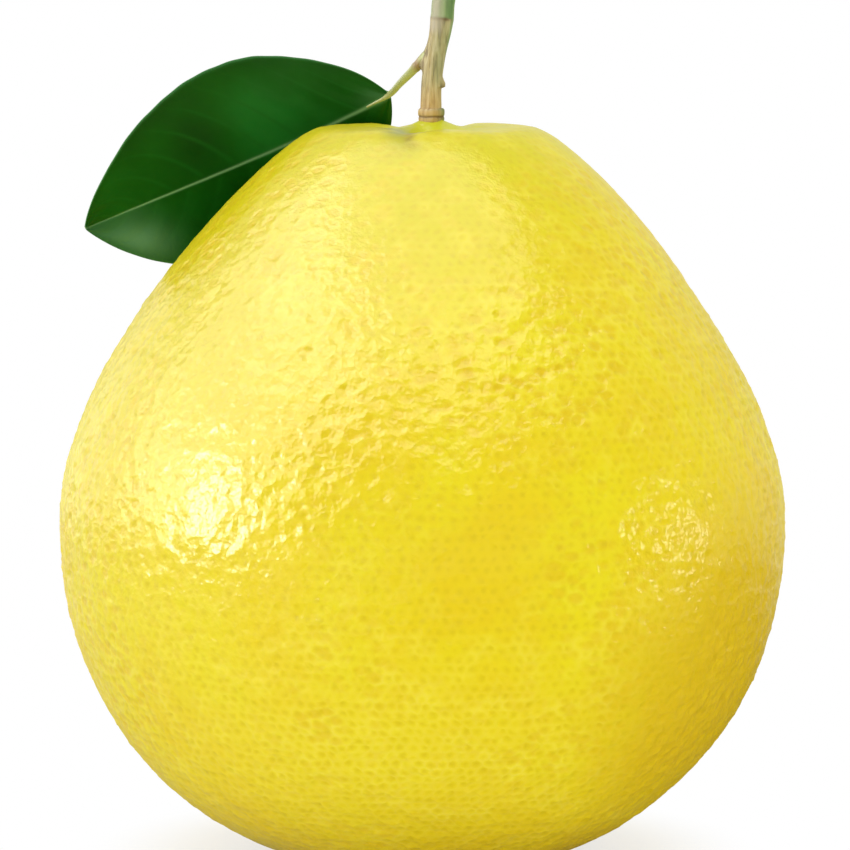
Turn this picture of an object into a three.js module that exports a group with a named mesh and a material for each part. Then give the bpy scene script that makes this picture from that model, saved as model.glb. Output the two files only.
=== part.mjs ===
// A whole pomelo as it was picked: the fruit, the calyx and the woody stalk that it hung by, and one leaf.
// Millimetres, +Z up, +X right, +Y back. The origin is the middle of the flat spot that the fruit rests on.
// The stalk stands on the crown, and the leaf lies behind the left shoulder, its glossy face to the fruit.
import * as THREE from "three";

// Driving dimensions

const fruit = {
  belly: { radius: 80, height: 73 }, // the widest ring
  crown: { radius: 23, height: 160.4 }, // the rim of the flat top
  restRadius: 22, // the flat spot underneath
  restFlare: 19.6, // how far the base runs out level from the flat spot
  bellyBelow: 48.8, // reach of the round of the belly, downwards
  bellyAbove: 37, // and upwards
  shoulderOut: 9.1, // reach of the round of the shoulder, from the crown's rim
  lean: { out: 1, from: 120, to: 150 }, // the crown stands to the right, between these heights
  sides: 68,
  baseRings: 15,
  shoulderRings: 20,
  crownRings: 10,
};

// The skin rises to a small mound under the stalk, with a moat round it and furrows running outwards.
const relief = {
  lowest: 113, // nothing of it shows below this height
  full: 154, // and all of it above this one
  mound: { rise: 1.5, radius: 4.6 },
  moat: { depth: 1.0, radius: 8, width: 2.8 },
  furrows: [
    // angle from +X in degrees, then millimetres
    { angle: -120, depth: 2.4, width: 2.6, from: 4, to: 26 },
    { angle: 172, depth: 1.2, width: 2.4, from: 4, to: 22 },
    { angle: 112, depth: 1.4, width: 2.6, from: 4, to: 34 },
    { angle: 70, depth: 1.2, width: 2.6, from: 4, to: 32 },
    { angle: 10, depth: 1.1, width: 2.6, from: 4, to: 22 },
    { angle: -52, depth: 1.2, width: 3.0, from: 5, to: 28 },
  ],
  fadeIn: 3,
  spread: 0.06, // how much wider a furrow gets with each millimetre outwards
};

// No fruit is quite round: each wave is a share of the radius.
const unevenness = [
  { waves: 3, share: 0.006, phase: Math.PI / 2 },
  { waves: 5, share: 0.0025, phase: -Math.PI / 2 },
];

const stalkFoot = new THREE.Vector3(1.9, 0, 161.9); // where the calyx meets the crown
const gap = 0.35; // left between neighbouring pieces

const calyx = { radius: 2.9, height: 1.7, lobes: 5, lobeDepth: 0.16, sides: 30 };

// Its rings from the bottom up: shares of the radius, of the height and of the lobes' depth.
const calyxRings = [
  [0.86, 0, 0.5],
  [1, 0.3, 1],
  [0.99, 0.75, 1],
  [0.9, 1, 1],
  [0.45, 0.9, 0],
];

// The stalk, from the foot up: it leans to the right above the leaf's node.
const stalk = {
  line: [
    [0, 0, 0],
    [0.1, 0.1, 4.3],
    [0.1, 0.2, 8.7],
    [0.5, 0.3, 13],
    [1.4, 0.5, 17.4],
    [2.7, 0.8, 23.9],
    [5.4, 1.3, 36],
  ],
  radius: 2.15,
  topRadius: 2.3,
  swellings: [
    // where along the stalk, from 0 to 1, and how far each stands proud
    { at: 0, rise: 0.15, width: 0.12 },
    { at: 0.25, rise: 0.15, width: 0.1 },
    { at: 0.57, rise: 0.2, width: 0.03 },
  ],
  cutSlope: 0.45, // how far the cut at the top rises across the stalk
  sides: 14,
  steps: 26,
};

const leafNode = new THREE.Vector3(0.3, 0.2, 12.6); // on the stalk's line, above its foot

// The petiole runs back and down from the stalk, and turns to the left into the blade.
const petiole = {
  line: [
    [-2.9, 1.9, -0.5],
    [-4.8, 6.2, -2.9],
    [-7.1, 11.3, -5.4],
    [-8.9, 15.0, -7.2],
  ],
  width: 1.15, // half widths
  depth: 0.9,
  flare: 0.3, // added at its two joints
  flareReach: 0.13, // over this share of its length
  sides: 10,
  steps: 12,
};

// The midrib as a cubic from the base of the blade to its tip, from the leaf's node.
const blade = {
  midrib: [
    [-9.7, 16.8, -8.0],
    [-29.8, 30.0, -19.0],
    [-57.8, 28.0, -29.5],
    [-76.8, 12.0, -37.0],
  ],
  halfWidth: 25,
  fullness: { base: 0.8, tip: 0.87 }, // powers that round the two ends, where less is blunter
  upperTilt: { base: 24, tip: 39 }, // degrees that the upper half leans forward
  lowerTilt: { base: 54, tip: 22 }, // and the lower half back, round the shoulder
  tiltFrom: 0.3, // the tilt starts to change at this share of the midrib
  endTrim: 0.006, // the base and the tip are this share short of a point
  thickness: 0.5,
  edgeThickness: 0.34,
  ribRise: 0.55, // the midrib stands out of the underside
  ribWidth: 1.0,
  across: 12,
  along: 28,
};

// Shared geometry

const smooth = THREE.MathUtils.smoothstep;
const bell = (x, width) => Math.exp(-((x / width) ** 2));
const vector = (point) => new THREE.Vector3(...point);

// One closed surface over a row of rings with the same number of points, with a fan over each end ring.
function loft(rings) {
  const sides = rings[0].length;
  const corners = rings.flat();
  const faces = [];
  for (let ring = 0; ring < rings.length - 1; ring++) {
    for (let side = 0; side < sides; side++) {
      const a = ring * sides + side;
      const b = ring * sides + ((side + 1) % sides);
      faces.push(a, b, b + sides, a, b + sides, a + sides);
    }
  }
  const middle = (ring) => ring.reduce((sum, p) => sum.add(p), new THREE.Vector3()).divideScalar(sides);
  const first = corners.push(middle(rings[0])) - 1;
  const last = corners.push(middle(rings.at(-1))) - 1;
  const top = (rings.length - 1) * sides;
  for (let side = 0; side < sides; side++) {
    const next = (side + 1) % sides;
    faces.push(first, next, side, last, top + side, top + next);
  }
  const geometry = new THREE.BufferGeometry().setFromPoints(corners);
  geometry.setIndex(faces);
  geometry.computeVertexNormals();
  return geometry;
}

// A ring of points round a place on a curve, with a half width along each of two directions.
function ringAt(centre, first, second, halfFirst, halfSecond, sides) {
  return Array.from({ length: sides }, (_, side) => {
    const turn = (2 * Math.PI * side) / sides;
    return centre
      .clone()
      .addScaledVector(first, halfFirst * Math.cos(turn))
      .addScaledVector(second, halfSecond * Math.sin(turn));
  });
}

// Rings along a curve; size(t) gives the two half widths at t.
function sweep(curve, size, steps, sides) {
  const frames = curve.computeFrenetFrames(steps);
  return Array.from({ length: steps + 1 }, (_, step) => {
    const [wide, deep] = size(step / steps);
    const centre = curve.getPointAt(step / steps);
    return ringAt(centre, frames.normals[step], frames.binormals[step], wide, deep, sides);
  });
}

// The fruit

// How deep a furrow is at a place given from the stalk's foot: it fades in, then out, and widens as it goes.
function furrowDepth({ angle, depth, width, from, to }, x, y) {
  const turn = THREE.MathUtils.degToRad(angle);
  const along = x * Math.cos(turn) + y * Math.sin(turn);
  const across = y * Math.cos(turn) - x * Math.sin(turn);
  const fadeIn = smooth(along, from - relief.fadeIn, from + relief.fadeIn);
  const fadeOut = 1 - smooth(along, from + relief.fadeIn, to);
  return depth * fadeIn * fadeOut * bell(across, width + relief.spread * Math.max(along, 0));
}

// How far the skin of the crown stands above or below its plain shape.
function crownRelief(x, y) {
  const { mound, moat, furrows } = relief;
  const fromFoot = [x - stalkFoot.x, y - stalkFoot.y];
  const reach = Math.hypot(...fromFoot);
  const dent = moat.depth * bell(reach - moat.radius, moat.width);
  const rise = mound.rise * bell(reach, mound.radius);
  return furrows.reduce((sum, furrow) => sum - furrowDepth(furrow, ...fromFoot), rise - dent);
}

function skinPoint(radius, height, angle) {
  const { lean } = fruit;
  const uneven = unevenness.reduce((sum, w) => sum + w.share * Math.cos(w.waves * angle + w.phase), 1);
  const x = radius * uneven * Math.cos(angle) + lean.out * smooth(height, lean.from, lean.to);
  const y = radius * uneven * Math.sin(angle);
  const onCrown = smooth(height, relief.lowest, relief.full);
  return new THREE.Vector3(x, y, height + onCrown * crownRelief(x, y));
}

function makeFruit() {
  const { belly, crown, restRadius, restFlare, sides, baseRings, shoulderRings, crownRings } = fruit;
  const at = (radius, height) => new THREE.Vector2(radius, height);
  const base = new THREE.CubicBezierCurve(
    at(restRadius, 0),
    at(restRadius + restFlare, 0),
    at(belly.radius, belly.height - fruit.bellyBelow),
    at(belly.radius, belly.height),
  );
  const shoulder = new THREE.CubicBezierCurve(
    at(belly.radius, belly.height),
    at(belly.radius, belly.height + fruit.bellyAbove),
    at(crown.radius + fruit.shoulderOut, crown.height),
    at(crown.radius, crown.height),
  );
  const top = Array.from({ length: crownRings }, (_, ring) =>
    at(crown.radius * (1 - (ring + 1) / (crownRings + 1)), crown.height),
  );
  const outline = [
    ...base.getSpacedPoints(baseRings),
    ...shoulder.getSpacedPoints(shoulderRings).slice(1),
    ...top,
  ];
  const rings = outline.map(({ x: radius, y: height }) =>
    Array.from({ length: sides }, (_, side) => skinPoint(radius, height, (2 * Math.PI * side) / sides)),
  );
  return loft(rings);
}

// The calyx: a low button with a lobe for each sepal, and a dished top.

function makeCalyx() {
  const { radius, height, lobes, lobeDepth, sides } = calyx;
  const rings = calyxRings.map(([width, level, lobed]) =>
    Array.from({ length: sides }, (_, side) => {
      const turn = (2 * Math.PI * side) / sides;
      const reach = width * radius + lobed * lobeDepth * Math.cos(lobes * turn);
      return new THREE.Vector3(reach * Math.cos(turn), reach * Math.sin(turn), gap + level * height);
    }),
  );
  return loft(rings);
}

// The stalk

function makeStalk() {
  const line = new THREE.CatmullRomCurve3(stalk.line.map(vector));
  const size = (t) => {
    const plain = THREE.MathUtils.lerp(stalk.radius, stalk.topRadius, t);
    const swollen = stalk.swellings.reduce((sum, s) => sum + s.rise * bell(t - s.at, s.width), plain);
    return [swollen, swollen];
  };
  const rings = sweep(line, size, stalk.steps, stalk.sides);
  const middle = line.getPointAt(1);
  for (const point of rings.at(-1)) {
    point.z += stalk.cutSlope * (point.x - middle.x);
  }
  const foot = gap + calyx.height + gap;
  return loft(rings).translate(0, 0, foot);
}

// The leaf

function makePetiole() {
  const line = new THREE.CatmullRomCurve3(petiole.line.map(vector));
  const size = (t) => {
    const flare = petiole.flare * (bell(t, petiole.flareReach) + bell(1 - t, petiole.flareReach));
    return [petiole.width + flare, petiole.depth + flare / 2];
  };
  return loft(sweep(line, size, petiole.steps, petiole.sides));
}

// A point of the blade: s runs from base to tip, t from -1 at the upper edge to 1 at the lower.
function bladePoint(midrib, s, t) {
  const place = midrib.getPoint(s);
  const along = midrib.getTangent(s);
  const down = new THREE.Vector3(-along.z, 0, along.x).normalize();
  const back = new THREE.Vector3(0, 1, 0);
  const { base, tip } = t < 0 ? blade.upperTilt : blade.lowerTilt;
  const tilt = THREE.MathUtils.degToRad(THREE.MathUtils.lerp(base, tip, smooth(s, blade.tiltFrom, 1)));
  const reach = halfWidthAt(s) * t;
  return place.addScaledVector(down, reach * Math.cos(tilt)).addScaledVector(back, reach * Math.sin(tilt));
}

// Half the blade's width, which is greatest a little nearer the base than the tip.
function halfWidthAt(s) {
  const { base, tip } = blade.fullness;
  const widest = base / (base + tip);
  const place = THREE.MathUtils.lerp(blade.endTrim, 1 - blade.endTrim, s);
  return blade.halfWidth * (place / widest) ** base * ((1 - place) / (1 - widest)) ** tip;
}

// The direction that the glossy face looks in, from neighbouring points of the blade.
function bladeFace(midrib, s, t) {
  const step = 0.01;
  const nearBase = bladePoint(midrib, Math.max(s - step, 0), t);
  const nearTip = bladePoint(midrib, Math.min(s + step, 1), t);
  const above = bladePoint(midrib, s, t - step);
  const below = bladePoint(midrib, s, t + step);
  return nearTip.sub(nearBase).cross(below.sub(above)).normalize();
}

function makeBlade() {
  const midrib = new THREE.CubicBezierCurve3(...blade.midrib.map(vector));
  const columns = Array.from({ length: blade.across + 1 }, (_, column) => (2 * column) / blade.across - 1);
  const glossy = (s, t) => {
    const thickness = THREE.MathUtils.lerp(blade.thickness, blade.edgeThickness, t * t);
    return bladePoint(midrib, s, t).addScaledVector(bladeFace(midrib, s, t), thickness / 2);
  };
  const underside = (s, t) => {
    const thickness = THREE.MathUtils.lerp(blade.thickness, blade.edgeThickness, t * t);
    const rib = blade.ribRise * (1 - s) * bell(t * halfWidthAt(s), blade.ribWidth);
    return bladePoint(midrib, s, t).addScaledVector(bladeFace(midrib, s, t), -thickness / 2 - rib);
  };
  const rings = Array.from({ length: blade.along + 1 }, (_, row) => {
    const s = row / blade.along;
    const front = columns.map((t) => glossy(s, t));
    const behind = columns.map((t) => underside(s, t));
    return [...behind, ...front.reverse()];
  });
  return loft(rings);
}

// The whole

function piece(name, geometry, color, roughness) {
  const mesh = new THREE.Mesh(geometry, new THREE.MeshStandardMaterial({ color, roughness, metalness: 0 }));
  mesh.name = name;
  return mesh;
}

const leaf = new THREE.Group();
leaf.position.copy(leafNode);
leaf.add(piece("leaf_petiole", makePetiole(), "#a9ae62", 0.55));
leaf.add(piece("leaf_blade", makeBlade(), "#0b5213", 0.35));

const spray = new THREE.Group();
spray.position.copy(stalkFoot);
spray.add(piece("calyx", makeCalyx(), "#a98a4c", 0.8));
spray.add(piece("stalk", makeStalk(), "#b8a468", 0.8));
spray.add(leaf);

const pomelo = new THREE.Group();
pomelo.add(piece("fruit", makeFruit(), "#ecd52c", 0.45));
pomelo.add(spray);

export default pomelo;
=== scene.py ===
import math

import bpy
import numpy as np
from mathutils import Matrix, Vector, noise


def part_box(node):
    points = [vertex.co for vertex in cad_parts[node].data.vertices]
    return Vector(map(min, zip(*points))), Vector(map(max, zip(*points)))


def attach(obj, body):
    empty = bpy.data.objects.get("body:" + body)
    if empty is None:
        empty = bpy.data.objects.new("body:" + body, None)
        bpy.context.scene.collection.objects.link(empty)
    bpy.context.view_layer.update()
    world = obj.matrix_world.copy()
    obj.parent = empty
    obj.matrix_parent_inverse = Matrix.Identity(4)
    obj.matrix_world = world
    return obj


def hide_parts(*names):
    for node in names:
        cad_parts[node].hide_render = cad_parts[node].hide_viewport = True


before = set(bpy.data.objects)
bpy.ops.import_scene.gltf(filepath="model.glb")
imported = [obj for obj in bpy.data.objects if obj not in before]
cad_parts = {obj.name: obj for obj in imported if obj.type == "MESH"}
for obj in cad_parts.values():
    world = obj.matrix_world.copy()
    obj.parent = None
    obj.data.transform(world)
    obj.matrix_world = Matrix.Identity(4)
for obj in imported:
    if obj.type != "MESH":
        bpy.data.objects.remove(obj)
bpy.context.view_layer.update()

# A whole pomelo with its stalk and one leaf. Shapes are worked out in millimetres and made in metres.
mm = 0.001
luck = np.random.default_rng(11)


def linear(code):  # sRGB hex to linear, with full alpha
    parts = [int(code[i:i + 2], 16) / 255 for i in (1, 3, 5)]
    return tuple(c / 12.92 if c <= 0.04045 else ((c + 0.055) / 1.055) ** 2.4 for c in parts) + (1,)


# adds a node: an input takes a value, a socket, or a node, whose first output is then used
def addNode(tree, kind, inputs=None, ramp=None, **settings):
    node = tree.nodes.new(kind)
    for name, value in settings.items():
        setattr(node, name, value)
    if ramp:
        stops = node.color_ramp.elements
        while len(stops) < len(ramp):
            stops.new(1)
        for stop, (place, code) in zip(stops, ramp):
            stop.position = place
            stop.color = linear(code)
    for socket, value in (inputs or {}).items():
        if isinstance(value, bpy.types.Node):
            value = value.outputs[0]
        if isinstance(value, bpy.types.NodeSocket):
            tree.links.new(value, node.inputs[socket])
        else:
            node.inputs[socket].default_value = value
    return node


# lays colours over the first one in turn, each by its share
def layColours(tree, colour, layers):
    for share, over in layers:
        shown = linear(over) if isinstance(over, str) else over
        colour = addNode(tree, "ShaderNodeMix", {
            "Factor": share, "A": colour, "B": shown,
        }, data_type="RGBA").outputs[2]
    return colour


def newMaterial(name):
    material = bpy.data.materials.new(name)
    material.use_nodes = True
    tree = material.node_tree
    tree.nodes.clear()
    return material, tree


def smoothStep(x, low, high):
    t = np.clip((x - low) / (high - low), 0, 1)
    return t * t * (3 - 2 * t)


def bell(x, width):
    return np.exp(-(x / width) ** 2)


def cubic(corners, t):
    a, b, c, d = (np.asarray(corner, float) for corner in corners)
    t = np.asarray(t, float)[..., None]
    return (1 - t) ** 3 * a + 3 * (1 - t) ** 2 * t * b + 3 * (1 - t) * t ** 2 * c + t ** 3 * d


# a smooth line through a few points, cut into even steps
def throughPoints(points, count):
    p = np.asarray(points, float)
    p = np.vstack([2 * p[0] - p[1], p, 2 * p[-1] - p[-2]])
    between = 40
    steps = np.linspace(0, 1, between, endpoint=False)[:, None]
    parts = []
    for a, b, c, d in zip(p, p[1:], p[2:], p[3:]):
        parts.append(0.5 * (2 * b + (c - a) * steps + (2 * a - 5 * b + 4 * c - d) * steps ** 2
                            + (3 * b - a - 3 * c + d) * steps ** 3))
    line = np.vstack(parts + [p[-2:-1]])
    run = np.r_[0, np.cumsum(np.linalg.norm(np.diff(line, axis=0), axis=1))]
    places = np.linspace(0, run[-1], count)
    return np.stack([np.interp(places, run, line[:, axis]) for axis in range(3)], axis=1)


# smooth noise at each point, between -1 and 1, with features of this size in millimetres
def lumps(points, size, seed, octaves=2):
    shift = Vector((seed * 7.3, seed * 3.1, -seed * 5.7))
    return np.array([noise.fractal(Vector(p) / size + shift, 1, 2, octaves) for p in points])


# one visual piece, with a value at each point for every tag that its material reads
def makePiece(name, points, faces, material, cadNode, tags):
    mesh = bpy.data.meshes.new(name)
    mesh.from_pydata((np.asarray(points) * mm).tolist(), [], [list(map(int, f)) for f in faces])
    mesh.update()
    mesh.polygons.foreach_set("use_smooth", [True] * len(mesh.polygons))
    for tag, values in tags.items():
        mesh.attributes.new(tag, "FLOAT", "POINT").data.foreach_set("value", np.asarray(values, np.float32))
    mesh.materials.append(material)
    piece = bpy.data.objects.new(name, mesh)
    bpy.context.scene.collection.objects.link(piece)
    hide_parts(cadNode)
    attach(piece, "root")
    print(f"  {name}: {len(points)} points, {len(faces)} faces")


fruitLow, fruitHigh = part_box("fruit")
calyxLow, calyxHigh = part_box("calyx")
# the middle of the stalk's foot on the crown: a lobe of the calyx reaches 3.06 mm to its right, and the calyx
# stands 0.35 mm above it
footPlace = np.array([calyxHigh.x / mm - 3.06, 0, calyxLow.z / mm - 0.35])

rind = {
    # the outline: radii, heights, and how far its curves run straight on from each end
    "bellyRadius": (fruitHigh.x - fruitLow.x) / 2 / mm,
    "bellyHeight": 73,
    "bellyBelow": 48.8,
    "bellyAbove": 37,
    "restRadius": 22,          # the flat spot underneath
    "restFlare": 19.6,
    "crownRadius": 23,         # the rim of the flat top
    "crownHeight": 160.4,
    "shoulderOut": 9.1,
    "lean": 1,                 # the crown stands this far to the right
    "leanBetween": (120, 150),
    "crownFrom": 120,          # above this height the skin counts as the crown
    # waves round it that keep it from being quite round: how many, share of the radius, phase
    "waves": [(3, 0.006, math.pi / 2), (5, 0.0025, -math.pi / 2)],
    # the crown's relief fades in between two heights: a mound, a moat and a rim round the stalk's foot, each
    # with its rise, distance from the foot and width
    "crownBetween": (113, 154),
    "crownRings": [(2.1, 0, 6.0), (-0.15, 9, 2.8), (0.35, 17, 6)],
    # furrows that run out from the foot: angle, depth, width, and where they start and end
    "furrows": [
        (-105, 2.4, 2.3, 4, 30),
        (172, 1.4, 2.4, 4, 24),
        (112, 2.3, 2.4, 5, 44),
        (74, 1.7, 2.4, 5, 42),
        (10, 0.7, 2.6, 4, 24),
        (-52, 1.2, 3.0, 5, 28),
    ],
    "glandPitch": 2.45,        # oil glands lie this far apart
    "glandScatter": 0.22,      # share of the pitch that each one strays
    "glandDepth": 0.32,
    "glandSizes": (0.45, 1),   # shares of that depth
    "glandUnderneath": 0.15,   # share that is left on the flat spot
    # unevenness of the skin: size of its bumps and how far they rise
    "bumps": [(40, 0.5), (5, 0.16), (2.0, 0.24)],
    # shallow wrinkles: width, how many times longer they are, how steeply they climb, sharpness and height
    "wrinkles": (4.6, 3.0, math.radians(24), 2.2, 0.2),
    # how strong they are everywhere, what uneven patches add, and the size of those patches
    "wrinkled": (0.25, 0.45, 38),
    # relief is weaker on the crown: from this height, its share at the foot, and the distances where it rises
    "calmCrown": (108, 0.25, (32, 70)),
    "footCalm": (3, 12),       # glands fade out between these distances from the foot
    "restCalm": (0.2, 12),     # and relief between these heights, so that the flat spot stays flat
    # soft patches on the front: strength, height, half height, place across and half width
    "wrinkledPatches": [(0.8, 112, 17, 18, 34)],
    # a warmer golden patch on the left, and painted shade, golden, at the right edge
    "goldenToneAndShadePatches": [(0.22, 110, 32, -38, 28), (0.16, 112, 26, 64, 14)],
    # painted light: paler where light bounces up from the floor and where highlights fall; the negative patch
    # takes paleness away
    "paintedLightPatches": [(0.6, 30, 24, -8, 50), (0.6, 64, 11, 50, 12), (0.35, 112, 17, 22, 34),
                    (-0.5, 76, 20, 18, 30)],
    # painted shade: the lower right side, away from the light, is deeper golden: its direction from the
    # belly's middle, how golden it is and how far round
    "shadedSide": (0.83, -0.44, -0.34),
    "shadedSideGolden": (0.72, (0.79, 1)),
    # painted shade: deeper golden underneath
    "shadedBelow": (0.3, (2, 30)),   # how golden it is underneath, and the heights where that fades
    # painted light: the top is more lemon where the light falls: how lemon the top is, how much lower that
    # reaches towards the left, and the heights where it sets in
    "lemonAbove": (0.9, 0.6, (95, 158)),
    "greenRings": [(0.55, 24), (0.4, 9)],  # strength and width of the green round the foot
    "blossomScar": (1.2, 3.4),     # radii between which it fades
    # painted shade, olive, in the hollow beside the foot: strength, place across, half width, wander, and its
    # two ends
    "hollowShade": (0.8, -6.8, 3.0, 2, (-33, -20), (-12, 1)),
    # painted shade, brown, in a crease along it: strength, angle, half width, how it widens, wander, and its
    # two ends
    "creaseShade": (0.8, -100, 0.5, 0.035, 2.2, (6, 22), (25, 31)),
}


# radius and height, from the middle of the base to the middle of the crown, and the run along them
def rindOutline():
    t = np.linspace(0, 1, 300)
    belly = (rind["bellyRadius"], rind["bellyHeight"])
    rest = rind["restRadius"]
    crown = (rind["crownRadius"], rind["crownHeight"])
    base = cubic([(rest, 0), (rest + rind["restFlare"], 0),
                  (belly[0], belly[1] - rind["bellyBelow"]), belly], t)
    shoulder = cubic([belly, (belly[0], belly[1] + rind["bellyAbove"]),
                      (crown[0] + rind["shoulderOut"], crown[1]), crown], t)
    line = np.vstack([[(0, 0)], base, shoulder[1:], [(0, crown[1])]])
    run = np.r_[0, np.cumsum(np.linalg.norm(np.diff(line, axis=0), axis=1))]
    return line, run


outline, outlineRun = rindOutline()


# distances from the stalk's foot along a line that leaves it at this angle, and across that line
def alongAndAcross(x, y, degrees):
    turn = math.radians(degrees)
    fx, fy = x - footPlace[0], y - footPlace[1]
    return fx * math.cos(turn) + fy * math.sin(turn), fy * math.cos(turn) - fx * math.sin(turn)


def fromFoot(points):
    return np.hypot(points[:, 0] - footPlace[0], points[:, 1] - footPlace[1])


def crownRelief(x, y):
    softStart, widening = 3, 0.06
    reach = np.hypot(x - footPlace[0], y - footPlace[1])
    rise = sum(height * bell(reach - out, width) for height, out, width in rind["crownRings"])
    for degrees, depth, width, start, end in rind["furrows"]:
        along, across = alongAndAcross(x, y, degrees)
        full = start + softStart
        fade = smoothStep(along, start - softStart, full) * (1 - smoothStep(along, full, end))
        rise = rise - depth * fade * bell(across, width + widening * np.maximum(along, 0))
    return rise


def outlineAt(run):
    return np.interp(run, outlineRun, outline[:, 0]), np.interp(run, outlineRun, outline[:, 1])


# points of the plain skin and the way each one faces
def rindSkin(run, angle):
    step = 0.5
    r, z = outlineAt(run)
    (r0, z0), (r1, z1) = outlineAt(run - step), outlineAt(run + step)
    facing = np.stack([(z1 - z0) * np.cos(angle), (z1 - z0) * np.sin(angle), r0 - r1], axis=1)
    facing /= np.linalg.norm(facing, axis=1)[:, None]
    uneven = 1 + sum(share * np.cos(count * angle + phase) for count, share, phase in rind["waves"])
    x = r * uneven * np.cos(angle) + rind["lean"] * smoothStep(z, *rind["leanBetween"])
    y = r * uneven * np.sin(angle)
    z = z + smoothStep(z, *rind["crownBetween"]) * crownRelief(x, y)
    return np.stack([x, y, z], axis=1), facing


# triangles between two closed rows of points
def stitchRows(lower, upper, angles):
    a = np.r_[angles[lower], angles[lower][0] + 2 * math.pi]
    first = int(np.argmin(np.abs(angles[upper] - a[0])))
    b = np.r_[angles[upper][first:], angles[upper][:first] + 2 * math.pi, angles[upper][first] + 2 * math.pi]
    turned = np.r_[upper[first:], upper[:first], upper[first]]
    lower = np.r_[lower, lower[0]]
    faces, i, j = [], 0, 0
    while i < len(a) - 1 or j < len(b) - 1:
        if j == len(b) - 1 or (i < len(a) - 1 and a[i + 1] + a[i] < b[j + 1] + b[j]):
            faces.append((lower[i], lower[i + 1], turned[j]))
            i += 1
        else:
            faces.append((lower[i], turned[j + 1], turned[j]))
            j += 1
    return faces


# places of the oil glands, in rows round the fruit, and the triangles that join them
def glandLayout():
    rowShare = 0.866           # apart, as rows of triangles with equal sides are
    fewest, calmRadius = 6, 6  # near the axis: glands in a row, and the radius within which they stray less
    length, pitch = outlineRun[-1], rind["glandPitch"]
    rowCount = round(length / (pitch * rowShare))
    runs, angles, rows = [0.0], [0.0], []
    for row in range(rowCount):
        run = (row + 0.5) * length / rowCount
        radius = outlineAt(run)[0]
        count = max(fewest, round(2 * math.pi * radius / pitch))
        stray = rind["glandScatter"] * pitch * luck.uniform(-1, 1, (2, count))
        turn = (np.arange(count) + luck.uniform()) * 2 * math.pi / count + stray[0] / max(radius, pitch)
        rows.append(np.arange(count) + len(runs))
        runs.extend(run + stray[1] * min(1, radius / calmRadius))
        angles.extend(turn)
    runs.append(length)
    angles.append(0.0)
    runs, angles = np.array(runs), np.array(angles)
    faces = []
    for lower, upper in zip(rows, rows[1:]):
        faces += stitchRows(lower, upper, angles)
    last = len(runs) - 1
    for a, b in zip(rows[0], np.roll(rows[0], -1)):
        faces.append((0, b, a))
    for a, b in zip(rows[-1], np.roll(rows[-1], -1)):
        faces.append((a, b, last))
    return runs, angles, np.array(faces)


# puts a ridge corner in each triangle and joins neighbouring ones across the edge that they share
def ridgeBetween(points, faces):
    ridge = np.arange(len(faces)) + len(points)
    start = faces.ravel()
    end = np.roll(faces, -1, axis=1).ravel()
    owner = np.repeat(ridge, 3)
    key = np.minimum(start, end) * len(points) + np.maximum(start, end)
    order = np.argsort(key, kind="stable")
    one, two = order[0::2], order[1::2]
    a, b, left, right = start[one], end[one], owner[one], owner[two]
    return np.vstack([np.stack([a, right, left], axis=1), np.stack([b, left, right], axis=1)])


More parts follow.
